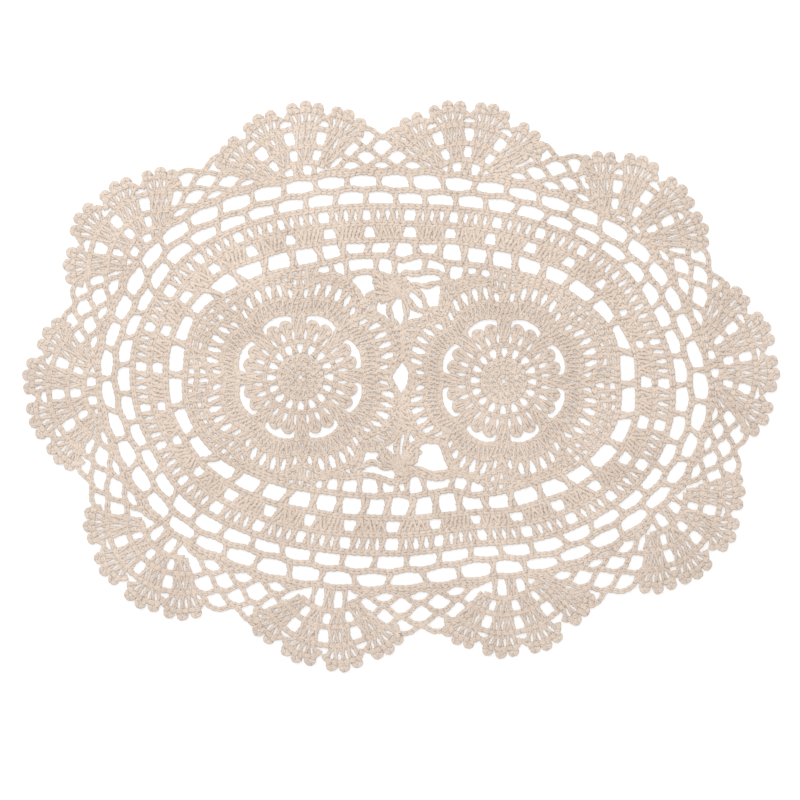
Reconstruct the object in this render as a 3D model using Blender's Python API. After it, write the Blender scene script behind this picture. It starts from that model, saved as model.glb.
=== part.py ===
"""An oval crochet doily lying flat: one piece of openwork, modelled as a thin flat plate.

The work runs outward in rounds.  Two round medallions are joined side by side and crossed
with two stars of long stitches.  Around them go an inner mesh, a solid band, two rounds of
outer mesh, and an edging of ten fans with a net of loops between them.  The plate has the
outline of that edging and the largest gaps of each round.  All sizes are in metres.
"""

import math

import bmesh
import bpy
import numpy as np

THICKNESS = 0.002
YARN_BAR = 0.0026

# The ovals' common middle.  The fans are uneven, so it is not quite the middle of the whole.
OVAL_MIDDLE = (-0.0004, 0.0034)

# The oval line on which the fans stand; the other rounds are offsets of it.
OVAL_HALF_LENGTH = 0.1598
OVAL_HALF_WIDTH = 0.1083
OVAL_POWER = 2.35
OVAL_SAMPLES = 1440

# The inner mesh's cells are widest at its ends, by its swell, a share of the oval.
MESH_ROUNDS = (
    # name, inner line, outer line, cells, phase in cells, swell
    ("outer_mesh", -0.0090, 0.0, 50, 0.5, 0.0),
    ("second_mesh", -0.0177, -0.0090, 50, 0.0, 0.0),
    ("inner_mesh", -0.0460, -0.0353, 42, 0.0, 0.0122),
)

# How far the rounds' upright stitches lean over on the oval's corners.
MESH_LEAN = 0.0028

# Each fan's own departure from an even border: along the oval, outward at its foot and tip,
# its lean in degrees, and how far along the rounds below it have moved.
FAN_PLACES = (
    # name, along, foot outward, tip outward, lean, rounds along
    ("right", -0.0030, 0.0000, 0.0000, 11.0, 0.0020),
    ("upper_right", 0.0000, -0.0010, -0.0030, -1.0, -0.0045),
    ("top_right", 0.0020, 0.0000, 0.0005, -0.5, -0.0045),
    ("top_left", -0.0002, 0.0000, 0.0000, 7.0, -0.0033),
    ("upper_left", 0.0050, 0.0000, -0.0010, 0.0, -0.0055),
    ("left", -0.0026, 0.0000, -0.0005, 4.5, -0.0035),
    ("lower_left", -0.0021, 0.0020, 0.0055, -6.5, -0.0062),
    ("bottom_left", -0.0017, 0.0025, 0.0075, -1.5, -0.0048),
    ("bottom_right", 0.0036, 0.0010, 0.0020, 3.3, -0.0040),
    ("lower_right", 0.0059, 0.0000, 0.0025, 2.6, -0.0020),
)
FIRST_FAN_SHARE = 0.0120
WANDER_DEPTH = 0.045
FAN_RISE = 0.012

# Where the rounds dip inward from the oval, and over what distance outward a dip grows to its depth.
DENTS = (
    # name, share, depth, reach as a share, offset where it starts
    ("above_right", 0.053, 0.0042, 0.034, -0.0460),
    ("above_left", 0.446, 0.0030, 0.031, -0.0460),
    ("below_left", 0.557, 0.0043, 0.036, -0.0460),
    ("below_right", 0.800, 0.0033, 0.034, -0.0460),
    ("right_end", 0.998, -0.0026, 0.028, -0.0220),
)
DENT_GROWTH = 0.018

# A fan's rows are arcs round a point inside the oval line; angles are in degrees.
FAN_CENTRE = -0.0138
FAN_GAP_ANGLES = (-27.0, 0.0, 27.0)
FAN_GAP_ROWS = (
    # name, inner radius, outer radius, half width
    ("first", 0.0228, 0.0282, 0.0023),
    ("second", 0.0317, 0.0385, 0.0024),
)
LOBE_ANGLES = (-42.0, -14.0, 14.0, 42.0)
LOBE_NOTCH = 0.0468
PICOTS = (
    # name, angle from the middle of the lobe, distance of its centre
    ("before", -7.7, 0.0500),
    ("middle", 0.0, 0.0507),
    ("after", 7.7, 0.0500),
)
PICOT_RADIUS = 0.0028
PICOT_TURNS = (-78.0, -28.0, 28.0, 78.0)

# The net of loops between two fans, as offsets outward from the oval line.
NET_ROWS = (
    # name, middle of the row, loops
    ("first", 0.0066, 4),
    ("second", 0.0115, 3),
    ("third", 0.0168, 2),
)
NET_LOOP_STEP = 0.195
NET_CLEAR_ANGLE = 49.0
NET_FOLLOWS_LEAN = 0.00035
NET_GAP_HALF_LENGTH = 0.0056
NET_GAP_HALF_HEIGHT = 0.0020
VALLEY_OFFSET = 0.0215

# How high the net after each fan stands, against an even net.
NET_HEIGHTS = (0.97, 1.12, 1.07, 1.02, 1.03, 0.79, 0.97, 0.93, 1.04, 1.05)

# The medallions, and the curved gap inside each of their petals.
MEDALLION_X = 0.0534
PETALS = 8
CRESCENT_OUTER = 0.0335
CRESCENT_INNER = 0.0298
CRESCENT_BUMP = 0.0012
CRESCENT_HALF_ANGLE = 14.0

# The gaps round the two stars that fill in above and below the joined medallions.
MIDDLE_GAPS = (
    # name, x, y, half width, half height, corners
    ("between_medallions", 0.0000, 0.0000, 0.0048, 0.0098, 4),
    ("upper_left_pane", -0.0200, 0.0470, 0.0050, 0.0055, 6),
    ("upper_right_pane", 0.0165, 0.0435, 0.0055, 0.0055, 6),
    ("upper_slit", 0.0110, 0.0518, 0.0058, 0.0017, 4),
    ("upper_left_drop", -0.0110, 0.0357, 0.0032, 0.0045, 5),
    ("upper_drop", -0.0020, 0.0350, 0.0030, 0.0060, 4),
    ("upper_right_drop", 0.0060, 0.0365, 0.0026, 0.0050, 4),
    ("lower_right_pane", 0.0183, -0.0415, 0.0083, 0.0072, 6),
    ("lower_left_pane", -0.0158, -0.0415, 0.0036, 0.0038, 6),
    ("lower_slit", -0.0145, -0.0492, 0.0042, 0.0015, 4),
    ("lower_drop", -0.0047, -0.0345, 0.0030, 0.0062, 4),
    ("lower_right_drop", 0.0066, -0.0320, 0.0026, 0.0050, 4),
)
SHOULDER_ROWS = (
    # name, middle x, y, cells
    ("above", 0.0030, 0.0577, 5),
    ("below", 0.0035, -0.0574, 6),
)
SHOULDER_STEP = 0.0123
SHOULDER_CELL_HALF_LENGTH = 0.0047
SHOULDER_CELL_HALF_HEIGHT = 0.0031

COTTON = (0.62, 0.52, 0.44, 1.0)


class Oval:
    """The oval line and its offsets, each measured by its own length."""

    def __init__(self):
        angle = np.linspace(0.0, 2.0 * math.pi, OVAL_SAMPLES + 1)
        cos, sin = np.cos(angle), np.sin(angle)
        reach = (np.abs(cos) / OVAL_HALF_LENGTH) ** OVAL_POWER
        reach += (np.abs(sin) / OVAL_HALF_WIDTH) ** OVAL_POWER
        self.points = np.stack([cos, sin], 1) * (reach ** (-1.0 / OVAL_POWER))[:, None]
        ahead = np.roll(self.points[:-1], -1, 0) - np.roll(self.points[:-1], 1, 0)
        ahead /= np.linalg.norm(ahead, axis=1)[:, None]
        normals = np.stack([ahead[:, 1], -ahead[:, 0]], 1)
        self.normals = np.vstack([normals, normals[:1]])
        self.lengths = {}

    def share_table(self, offset):
        """The offset line's points, and the length along it at each."""
        if offset not in self.lengths:
            line = self.points + self.normals * offset
            steps = np.linalg.norm(np.diff(line, axis=0), axis=1)
            self.lengths[offset] = (line, np.concatenate([[0.0], np.cumsum(steps)]))
        return self.lengths[offset]

    def length(self, offset):
        return self.share_table(offset)[1][-1]

    def plain(self, offset, share):
        """The point at a share of the offset line's length, and the normal there."""
        line, along = self.share_table(offset)
        where = (share % 1.0) * along[-1]
        point = np.array([np.interp(where, along, line[:, axis]) for axis in (0, 1)])
        normal = np.array([np.interp(where, along, self.normals[:, axis]) for axis in (0, 1)])
        return point, normal / np.linalg.norm(normal)


OVAL = Oval()


def fan_share(index):
    return FIRST_FAN_SHARE + index / len(FAN_PLACES)


def wander(share, columns=(1, 2, 3)):
    """The border's own unevenness here: along, outward at the feet and outward at the tips."""
    steps = (share - FIRST_FAN_SHARE) * len(FAN_PLACES)
    low = math.floor(steps)
    blend = (1.0 - math.cos(math.pi * (steps - low))) / 2.0
    first = FAN_PLACES[low % len(FAN_PLACES)]
    second = FAN_PLACES[(low + 1) % len(FAN_PLACES)]
    return tuple(first[column] * (1.0 - blend) + second[column] * blend for column in columns)


def settled(share, swell):
    """The share at which a stitch of the rounds really stands."""
    if swell:
        return share + swell * math.sin(4.0 * math.pi * share)
    return share + wander(share, (5,))[0] / OVAL.length(0.0)


def dent(share, offset):
    """How far the round at this offset dips inward here."""
    depth = 0.0
    for _, middle, deepest, reach, start in DENTS:
        away = (share - middle + 0.5) % 1.0 - 0.5
        grown = min(1.0, max(0.0, (offset - start) / DENT_GROWTH))
        depth += deepest * grown * math.exp(-((away / reach) ** 2))
    return depth


def place(share, offset):
    """A point of a round.  The unevenness grows toward the tips and fades toward the middle."""
    along, foot, tip = wander(share)
    weight = min(1.0, max(0.0, 1.0 + offset / WANDER_DEPTH))
    rise = min(1.0, max(0.0, offset / FAN_RISE))
    line = min(offset, 0.0)
    point, normal = OVAL.plain(line, share + along * weight / OVAL.length(line))
    out = offset - line + foot * weight + (tip - foot) * rise - dent(share, offset) * (1.0 - rise)
    return point + normal * out


def fan_frame(index):
    """The centre of a fan's arcs, and its directions along and outward, with its lean."""
    along, _, tip = wander(fan_share(index))
    point, normal = OVAL.plain(0.0, fan_share(index) + along / OVAL.length(0.0))
    ahead = np.array([-normal[1], normal[0]])
    lean = math.radians(FAN_PLACES[index][4])
    outward = normal * math.cos(lean) + ahead * math.sin(lean)
    return point + normal * (FAN_CENTRE + tip), np.array([-outward[1], outward[0]]), outward


def fan_point(index, radius, degrees, aside=0.0):
    """A point of a fan by radius and angle, and a distance aside along its arc."""
    centre, ahead, normal = fan_frame(index)
    angle = math.radians(degrees)
    outward = ahead * math.sin(angle) + normal * math.cos(angle)
    across = ahead * math.cos(angle) - normal * math.sin(angle)
    return centre + outward * radius + across * aside


def picot_outline(index, degrees, distance):
    """The round end of a picot."""
    points = []
    for turn in PICOT_TURNS:
        rise = PICOT_RADIUS * math.cos(math.radians(turn))
        aside = PICOT_RADIUS * math.sin(math.radians(turn))
        points.append(fan_point(index, distance + rise, degrees, aside))
    return points


def fan_outline(index):
    """Four lobes of three picots each."""
    points = []
    for lobe, middle in enumerate(LOBE_ANGLES):
        if lobe:
            points.append(fan_point(index, LOBE_NOTCH, (LOBE_ANGLES[lobe - 1] + middle) / 2.0))
        for _, turn, distance in PICOTS:
            points += picot_outline(index, middle + turn, distance)
    return points


def outline():
    points = []
    for index in range(len(FAN_PLACES)):
        points += fan_outline(index)
        points.append(net_place(index, 0.0, VALLEY_OFFSET))
    return points


def mesh_round(inner, outer, cells, phase, swell):
    """The gaps of one round of mesh, between two chain lines and upright stitches."""
    half_bar = YARN_BAR / 2.0
    near, far = inner + half_bar, outer - half_bar
    gaps = []
    for cell in range(cells):
        edges = [settled((cell + step + phase) / cells, swell) for step in (0.0, 1.0)]
        gap = []
        for offset, edge, way in ((near, 0, -1.0), (near, 1, -1.0), (far, 1, 1.0), (far, 0, 1.0)):
            lean = way * MESH_LEAN / 2.0 * math.sin(4.0 * math.pi * edges[edge])
            aside = lean + (1 - 2 * edge) * half_bar
            gap.append(place(edges[edge] + aside / OVAL.length(offset), offset))
        gaps.append(gap)
    return gaps


def fan_gaps(index):
    """The gaps between the groups of stitches in the two lower rows of a fan."""
    gaps = []
    for _, inner, outer, half in FAN_GAP_ROWS:
        for middle in FAN_GAP_ANGLES:
            corners = ((inner, -half), (inner, half), (outer, half), (outer, -half))
            gaps.append([fan_point(index, radius, middle, aside) for radius, aside in corners])
    return gaps


def net_place(index, step, offset):
    """A point between this fan and the next, which the two fans' lean carries along."""
    lean = (FAN_PLACES[index][4] + FAN_PLACES[(index + 1) % len(FAN_PLACES)][4]) / 2.0
    share = fan_share(index + 0.5 + step) + lean * NET_FOLLOWS_LEAN / OVAL.length(0.0)
    return place(share, offset * NET_HEIGHTS[index])


def clear_of_fans(index, points):
    """Whether none of these points lies within the fans on either side."""
    for fan in (index, (index + 1) % len(FAN_PLACES)):
        centre, ahead, outward = fan_frame(fan)
        for point in points:
            angle = math.atan2(np.dot(point - centre, ahead), np.dot(point - centre, outward))
            if abs(math.degrees(angle)) < NET_CLEAR_ANGLE:
                return False
    return True


def net_gaps(index):
    """The flat lozenges between one fan and the next, one fewer in each row outward."""
    gaps = []
    reach = NET_GAP_HALF_LENGTH / OVAL.length(0.0) * len(FAN_PLACES)
    for _, middle, loops in NET_ROWS:
        for loop in range(loops):
            step = (loop - (loops - 1) / 2.0) * NET_LOOP_STEP
            gap = [
                net_place(index, step - reach, middle),
                net_place(index, step, middle - NET_GAP_HALF_HEIGHT),
                net_place(index, step + reach, middle),
                net_place(index, step, middle + NET_GAP_HALF_HEIGHT),
            ]
            if clear_of_fans(index, gap):
                gaps.append(gap)
    return gaps


def crescent(centre_x, degrees):
    """The curved gap inside a petal: an outer arc, and an inner arc that dips between two bumps."""
    ring = [(step, CRESCENT_OUTER) for step in (-1.0, -0.5, 0.0, 0.5, 1.0)]
    ring += [(0.5, CRESCENT_INNER + CRESCENT_BUMP), (0.0, CRESCENT_INNER - CRESCENT_BUMP)]
    ring += [(-0.5, CRESCENT_INNER + CRESCENT_BUMP)]
    points = []
    for step, radius in ring:
        angle = math.radians(degrees + step * CRESCENT_HALF_ANGLE)
        points.append((centre_x + radius * math.cos(angle), radius * math.sin(angle)))
    return points


def medallion_gaps():
    gaps = []
    for side in (-1.0, 1.0):
        for petal in range(PETALS):
            gaps.append(crescent(side * MEDALLION_X, 360.0 * (petal + 0.5) / PETALS))
    return gaps


def middle_gaps():
    """The gap between the medallions, and the gaps round the two stars."""
    gaps = []
    for _, x, y, half_width, half_height, corners in MIDDLE_GAPS:
        turns = [2.0 * math.pi * corner / corners for corner in range(corners)]
        gaps.append([(x + half_width * math.sin(t), y + half_height * math.cos(t)) for t in turns])
    return gaps


def shoulder_gaps():
    """The second row of cells, along the straight part of the inner mesh."""
    gaps = []
    for _, middle, y, cells in SHOULDER_ROWS:
        for cell in range(cells):
            x = middle + (cell - (cells - 1) / 2.0) * SHOULDER_STEP
            left, right = x - SHOULDER_CELL_HALF_LENGTH, x + SHOULDER_CELL_HALF_LENGTH
            low, high = y - SHOULDER_CELL_HALF_HEIGHT, y + SHOULDER_CELL_HALF_HEIGHT
            gaps.append([(left, low), (right, low), (right, high), (left, high)])
    return gaps


def add_loop(mesh, points):
    """A closed ring of edges at the bottom of the plate."""
    middle_x, middle_y = OVAL_MIDDLE
    corners = [mesh.verts.new((middle_x + float(x), middle_y + float(y), 0.0)) for x, y in points]
    return [mesh.edges.new((a, b)) for a, b in zip(corners, corners[1:] + corners[:1])]


def plate(name, rim, gaps, thickness, material):
    """A flat plate with straight walls, filled between its rim and its gaps."""
    mesh = bmesh.new()
    edges = add_loop(mesh, rim)
    for gap in gaps:
        edges += add_loop(mesh, gap)
    filled = bmesh.ops.triangle_fill(mesh, use_beauty=True, edges=edges, normal=(0, 0, 1))
    faces = [item for item in filled["geom"] if isinstance(item, bmesh.types.BMFace)]
    grown = bmesh.ops.extrude_face_region(mesh, geom=faces)
    raised = [item for item in grown["geom"] if isinstance(item, bmesh.types.BMVert)]
    bmesh.ops.translate(mesh, vec=(0.0, 0.0, thickness), verts=raised)
    bmesh.ops.recalc_face_normals(mesh, faces=mesh.faces)
    data = bpy.data.meshes.new(name)
    mesh.to_mesh(data)
    mesh.free()
    data.materials.append(material)
    obj = bpy.data.objects.new(name, data)
    bpy.context.scene.collection.objects.link(obj)
    return obj


def cotton():
    material = bpy.data.materials.new("cotton_thread")
    material.use_nodes = True
    shader = material.node_tree.nodes["Principled BSDF"]
    shader.inputs["Base Color"].default_value = COTTON
    shader.inputs["Roughness"].default_value = 0.85
    shader.inputs["Metallic"].default_value = 0.0
    return material


def clear_scene():
    for obj in list(bpy.data.objects):
        bpy.data.objects.remove(obj, do_unlink=True)


def main():
    clear_scene()
    gaps = medallion_gaps() + middle_gaps() + shoulder_gaps()
    for _, *sizes in MESH_ROUNDS:
        gaps += mesh_round(*sizes)
    for index in range(len(FAN_PLACES)):
        gaps += fan_gaps(index) + net_gaps(index)
    plate("doily", outline(), gaps, THICKNESS, cotton())


main()
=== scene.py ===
"""The looks of the oval crochet doily: every stitch is laid out in thread over the flat CAD plate.

Two kinds of stitch make all of it.  A chain is two strands along a line that spread and close at
each stitch.  A post is an upright stitch: two strands that cross, with wraps round them.  Each
round of the doily says where its chains and posts go.  Points are measured from the middle of
the oval.  Sizes are in metres and angles in degrees.
"""

import math

import bpy
import numpy as np
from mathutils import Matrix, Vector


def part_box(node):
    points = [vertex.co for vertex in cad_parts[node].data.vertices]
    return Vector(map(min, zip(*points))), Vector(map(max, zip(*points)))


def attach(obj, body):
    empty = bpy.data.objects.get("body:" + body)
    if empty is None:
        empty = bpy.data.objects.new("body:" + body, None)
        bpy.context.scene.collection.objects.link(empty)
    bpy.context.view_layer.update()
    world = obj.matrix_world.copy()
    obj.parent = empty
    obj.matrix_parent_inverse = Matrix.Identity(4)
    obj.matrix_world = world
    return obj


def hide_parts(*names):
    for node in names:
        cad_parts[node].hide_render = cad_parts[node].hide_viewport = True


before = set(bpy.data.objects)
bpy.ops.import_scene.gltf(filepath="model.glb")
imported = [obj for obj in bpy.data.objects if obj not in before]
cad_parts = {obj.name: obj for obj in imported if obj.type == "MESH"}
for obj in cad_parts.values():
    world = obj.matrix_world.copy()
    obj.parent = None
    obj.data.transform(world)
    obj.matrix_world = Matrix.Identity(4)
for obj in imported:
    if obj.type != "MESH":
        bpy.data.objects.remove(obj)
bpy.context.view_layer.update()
LOW, HIGH = (np.array(corner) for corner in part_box("doily"))
DRAWN_LENGTH = 0.3974
FIT = (HIGH[0] - LOW[0]) / DRAWN_LENGTH

rng = np.random.default_rng(41)

# The thread, pressed a little flat, as blocking leaves it: its width, height and number of
# sides, and the height at which it lies.
THREAD = 0.00185
THREAD_HEIGHT = 0.00072
SIDES = 6
MID_HEIGHT = 0.00105

# The least level part of a direction that sets a path's sides, and the steps of a curve.
LEAST_LEVEL = 0.25
CURVE_STEP = 0.001

# A chain: a stitch's length and width, and how many stitches one length of thread covers.
CHAIN_PITCH = 0.0033
CHAIN_WIDTH = 0.0036
CHAIN_CUT = 18
CHAIN_PATH = (
    # along in stitches, aside in half widths, up in threads
    (0.05, 0.42, 0.20),
    (0.40, 0.80, 0.34),
    (0.78, 1.00, 0.10),
    (0.98, 0.70, -0.35),
)

# A post: how far apart its strands cross, and how far they stay inside its ends and rise.
POST_TWIST = 0.0090
POST_STEP = 0.0015
POST_TRIM = 0.0007
POST_DEPTH = 0.35

# A wrap: its length, and the rest as shares of its post's strands.
WRAP_REACH = 0.0022
WRAP_WIDTH = 1.25
WRAP_DEPTH = 0.6
WRAP_SIZE = 0.7

# How far a stitch's foot reaches inside the line that it stands on.
SINK = 0.0005
PETAL_SINK = 0.0003

# The oval, and the offsets from it of the rounds' lines.
OVAL_MIDDLE = np.array((-0.0004, 0.0034))
OVAL_HALF_LENGTH = 0.1598
OVAL_HALF_WIDTH = 0.1083
OVAL_POWER = 2.35
OVAL_SAMPLES = 2880
MESH_OUTER = 0.0
MESH_MIDDLE = -0.0090
BAND_OUTER = -0.0177
BAND_MIDDLE = -0.0266
BAND_INNER = -0.0353
INNER_LINE = -0.0460

# The rounds' stitches.  Those of the meshes lean, and pull the lines that they end on inward.
MESH_CELLS = 50
MESH_PULL = 0.0005
MESH_LEAN = 0.0028
MESH_SLANT = 0.0008
INNER_CELLS = 42
INNER_SLANT = 0.0010
INNER_SWELL = 0.0122
BAND_GROUPS = 32
OUTER_GROUP = (-0.325, -0.108, 0.108, 0.325)
INNER_GROUP = 7
INNER_GROUP_FEET = 0.27
INNER_GROUP_HEADS = 0.335

# Where the rounds dip inward from the oval, and over what distance outward a dip grows to its depth.
DENTS = {
    # name: share, depth, reach as a share, offset where it starts
    "above_right": (0.053, 0.0042, 0.034, -0.0460),
    "above_left": (0.446, 0.0030, 0.031, -0.0460),
    "below_left": (0.557, 0.0043, 0.036, -0.0460),
    "below_right": (0.800, 0.0033, 0.034, -0.0460),
    "right_end": (0.998, -0.0026, 0.028, -0.0220),
}
DENT_GROWTH = 0.018

# Each fan's own departure from an even border.
FAN_PLACES = (
    # name, along, outward at its foot, outward at its tip, lean, how far the rounds below it moved
    ("right", -0.0030, 0.0000, 0.0000, 11.0, 0.0020),
    ("upper_right", 0.0000, -0.0010, -0.0030, -1.0, -0.0045),
    ("top_right", 0.0020, 0.0000, 0.0005, -0.5, -0.0045),
    ("top_left", -0.0002, 0.0000, 0.0000, 7.0, -0.0033),
    ("upper_left", 0.0050, 0.0000, -0.0010, 0.0, -0.0055),
    ("left", -0.0026, 0.0000, -0.0005, 4.5, -0.0035),
    ("lower_left", -0.0021, 0.0020, 0.0055, -6.5, -0.0062),
    ("bottom_left", -0.0017, 0.0025, 0.0075, -1.5, -0.0048),
    ("bottom_right", 0.0036, 0.0010, 0.0020, 3.3, -0.0040),
    ("lower_right", 0.0059, 0.0000, 0.0025, 2.6, -0.0020),
)
FANS = len(FAN_PLACES)
FIRST_FAN_SHARE = 0.0120
FAN_HALF_SHARE = 0.06

# Over what distances inward and outward that unevenness fades and grows.
WANDER_DEPTH = 0.045
FAN_RISE = 0.012

# A fan's rows: arcs round its centre, and the angles at which they end.
FAN_CENTRE = -0.0138
FOOT_RADIUS = 0.0146
ROW_RADII = (0.0218, 0.0303, 0.0400)
ROW_ENDS = (42.0, 50.0, 52.0)
LEGS = (
    # foot angle, head angle
    (-31.0, -25.0),
    (-5.0, -4.0),
    (5.0, 4.0),
    (31.0, 25.0),
)
ROW_WIDTH = 0.0031

# Angles of a foot and a head: of each group's middle, then of its stitches from there.
FIRST_GROUPS = ((-38.0, -40.0), (-13.5, -13.5), (13.5, 13.5), (38.0, 40.0))
FIRST_SPREAD = ((-5.4, -6.8), (0.0, 0.0), (5.4, 6.8))
SECOND_GROUPS = ((-40.5, -41.5), (-13.5, -13.8), (13.5, 13.8), (40.5, 41.5))
SECOND_SPREAD = ((-7.4, -7.6), (-2.5, -2.5), (2.5, 2.5), (7.4, 7.6))

# A fan's lobes: a shell of stitches, the arch over them and three picots.
LOBES = (-42.0, -14.0, 14.0, 42.0)
SHELL_HEADS = 0.0483
SHELL_ROUNDING = 0.0016
SHELL_STITCHES = 5
SHELL_GATHER = 0.985
SHELL_FEET = 6.2
SHELL_SPREAD = 11.0
SHELL_ARCH = (
    # angle from the lobe's middle, radius
    (-13.2, 0.0440),
    (-11.6, 0.0464),
    (-8.0, 0.0479),
    (0.0, 0.0486),
    (8.0, 0.0479),
    (11.6, 0.0464),
    (13.2, 0.0440),
)
PICOTS = (
    # angle from the lobe's middle, radius
    (-7.7, 0.0498),
    (0.0, 0.0507),
    (7.7, 0.0498),
)
PICOT_RING = 0.00190

# The net between fans, and how far it keeps from them.
NET_STEP = 0.195
NET_ROWS = (
    # height of the loops' tops, loops
    (0.0024, 6),
    (0.0066, 5),
    (0.0115, 4),
    (0.0168, 3),
    (0.0214, 2),
)
NET_LOOP = (
    # along in steps, share of the way up
    (-0.5, 0.0),
    (-0.34, 0.40),
    (-0.14, 0.94),
    (0.14, 0.94),
    (0.34, 0.40),
    (0.5, 0.0),
)
NET_FOOT = 0.0006
NET_CLEAR_ANGLE = 44.0
NET_CLEAR_BELOW = 30.0
NET_CLEAR_DEPTH = 0.0020
NET_FOLLOWS_LEAN = 0.00035
SHORTEST_LOOP = 6

# How high the net after each fan stands, against an even net.
NET_HEIGHTS = (0.97, 1.12, 1.07, 1.02, 1.03, 0.79, 0.97, 0.93, 1.04, 1.05)

# The medallions, and the stitches that join their rims to the inner line.
MEDALLION_X = 0.0534
MEDALLIONS = (
    # side, turn
    (1.0, 0.5),
    (-1.0, 2.5),
)
JOINS = 116
JOINS_END = 0.024
JOINS_LINE = 0.55

# A medallion from its middle outward: the disc and the open round, the bobbles, the spokes.
DISC_ROUNDS = (
    # chain: radius, width, size; stitches on it: foot, head, count, first angle, size, wraps
    (0.0023, 0.0025, 0.80, 0.0026, 0.0074, 12, 0.0, 0.78, 0),
    (0.0070, 0.0027, 0.88, 0.0070, 0.0118, 22, 0.0, 0.78, 0),
    (0.0112, 0.0029, 0.90, 0.0118, 0.0185, 16, 10.5, 1.00, 1),
)
OPEN_RIM = 0.0187
BUMP_TURN = 7.4
BUMP_SPREAD = (-1.0, -0.33, 0.33, 1.0)
BUMP_STITCH = (
    # angle from the bobble's middle, radius
    (0.5, 0.0188),
    (1.7, 0.0217),
    (4.4, 0.0252),
    (3.6, 0.0285),
)
BUMP_ARCH = (
    # angle from the bobble's middle, radius
    (-5.6, 0.0253),
    (-4.7, 0.0276),
    (-2.4, 0.0294),
    (2.4, 0.0294),
    (4.7, 0.0276),
    (5.6, 0.0253),
)
SPOKE = (
    # radius, angle between its stitches
    (0.0189, 2.3),
    (0.0340, 5.6),
)

# Its petals: radii of their foot, middle and rim, and how much lower these are at the ends.
PETALS = 8
PETAL_TURN = 360.0 / PETALS
PETAL_FOOT = 0.0350
PETAL_MIDDLE = 0.0425
RIM = 0.0526
PETAL_FOOT_DROP = 0.0028
PETAL_FOOT_REACH = 20.0
PETAL_DROP = 0.0062
PETAL_FLAT = 7.0
PETAL_FALL = 15.5
BASE_REACH = 21.0
SOLID_STITCHES = 13
SOLID_REACH = 20.6
SOLID_HEADS = 0.0431
OPEN_STITCHES = (-21.0, -14.0, -7.0, 0.0, 7.0, 14.0, 21.0)
OPEN_GATHER = 0.98
OPEN_HEADS = 0.0530
MIDDLE_DROP = 0.5

# Each piece is half of a part of the doily: the halves on either side of the middle, by axis.
HALVES = ((("right", 1.0), ("left", -1.0)), (("top", 1.0), ("bottom", -1.0)))
FLATS = {
    # part: flat size of its half, flat area of the cloth in it
    "centre": ((0.125, 0.146), 0.0153),
    "rounds": ((0.0366, 0.378), 0.0137),
    "edging": ((0.0465, 0.455), 0.0155),
}

# The thread's material: its plies, its colours, and how much of their change each pattern makes; the
# plies' share is painted shade in the grooves between them.
PLIES = 3.0
YARN_DARK = (0.578, 0.472, 0.392, 1.0)
YARN_LIGHT = (0.726, 0.610, 0.515, 1.0)
BROAD_SHARE = 0.45
FINE_SHARE = 0.55
# painted shade: how much the colour darkens in the grooves between the plies
PLY_SHADE_SHARE = 0.05

# The table top and the camera's view of it.
TABLE_HALF_SIZE = 3.0
VIEW_MIDDLE = (-0.0012, -0.0077)
VIEW_WIDTH = 0.4205
VIEW_TURN = 1.08


class Oval:
    """The oval line and its offsets, each measured by its own length."""

    def __init__(self):
        angle = np.linspace(0.0, 2.0 * math.pi, OVAL_SAMPLES + 1)
        cos, sin = np.cos(angle), np.sin(angle)
        long_part = (np.abs(cos) / OVAL_HALF_LENGTH) ** OVAL_POWER
        wide_part = (np.abs(sin) / OVAL_HALF_WIDTH) ** OVAL_POWER
        reach = (long_part + wide_part) ** (-1.0 / OVAL_POWER)
        self.points = np.stack([cos, sin], 1) * reach[:, None]
        ahead = np.roll(self.points[:-1], -1, 0) - np.roll(self.points[:-1], 1, 0)
        ahead /= np.linalg.norm(ahead, axis=1)[:, None]
        normals = np.stack([ahead[:, 1], -ahead[:, 0]], 1)
        self.normals = np.vstack([normals, normals[:1]])
        self.tables = {}

    def table(self, offset):
        """The line at this offset, and the distance along it of each point."""
        offset = round(offset, 4)
        if offset not in self.tables:
            line = self.points + self.normals * offset
            steps = np.linalg.norm(np.diff(line, axis=0), axis=1)
            self.tables[offset] = (line, np.concatenate([[0.0], np.cumsum(steps)]))
        return self.tables[offset]

    def length(self, offset):
        return self.table(offset)[1][-1]

    def plain(self, offset, share):
        """Points of the even round at this offset, and the directions outward from it."""
        line, along = self.table(offset)
        where = np.mod(share, 1.0) * along[-1]
        point = np.stack([np.interp(where, along, part) for part in line.T], -1)
        normal = np.stack([np.interp(where, along, part) for part in self.normals.T], -1)
        return point, normal / np.linalg.norm(normal, axis=-1, keepdims=True)


OVAL = Oval()


def fan_share(index):
    return FIRST_FAN_SHARE + index / FANS


def wander(share, columns=(1, 2, 3)):
    """The border's own unevenness at these shares: along, and outward at the feet and the tips."""
    table = np.array([[row[column] for column in columns] for row in FAN_PLACES])
    steps = (np.asarray(share, float) - FIRST_FAN_SHARE) * FANS
    low = np.floor(steps).astype(int)
    blend = ((1.0 - np.cos(math.pi * (steps - low))) / 2.0)[..., None]
    return np.moveaxis(table[low % FANS] * (1.0 - blend) + table[(low + 1) % FANS] * blend, -1, 0)


def settled(share):
    """The share at which a stitch of the outer rounds really stands."""
    return share + wander(share, (5,))[0] / OVAL.length(0.0)


def swollen(share):
    """The share at which a stitch of the inner mesh stands: its cells are widest at the ends."""
    return share + INNER_SWELL * math.sin(4.0 * math.pi * share)


def leaning(share):
    """How far along an upright stitch of the rounds leans, from its foot to its head."""
    return MESH_LEAN * math.sin(4.0 * math.pi * share)


def dent(share, offset):
    """How far the round at this offset dips inward at these shares."""
    depth = 0.0
    for middle, deepest, reach, start in DENTS.values():
        away = np.mod(share - middle + 0.5, 1.0) - 0.5
        grown = min(1.0, max(0.0, (offset - start) / DENT_GROWTH))
        depth = depth + deepest * grown * np.exp(-((away / reach) ** 2))
    return depth


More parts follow.
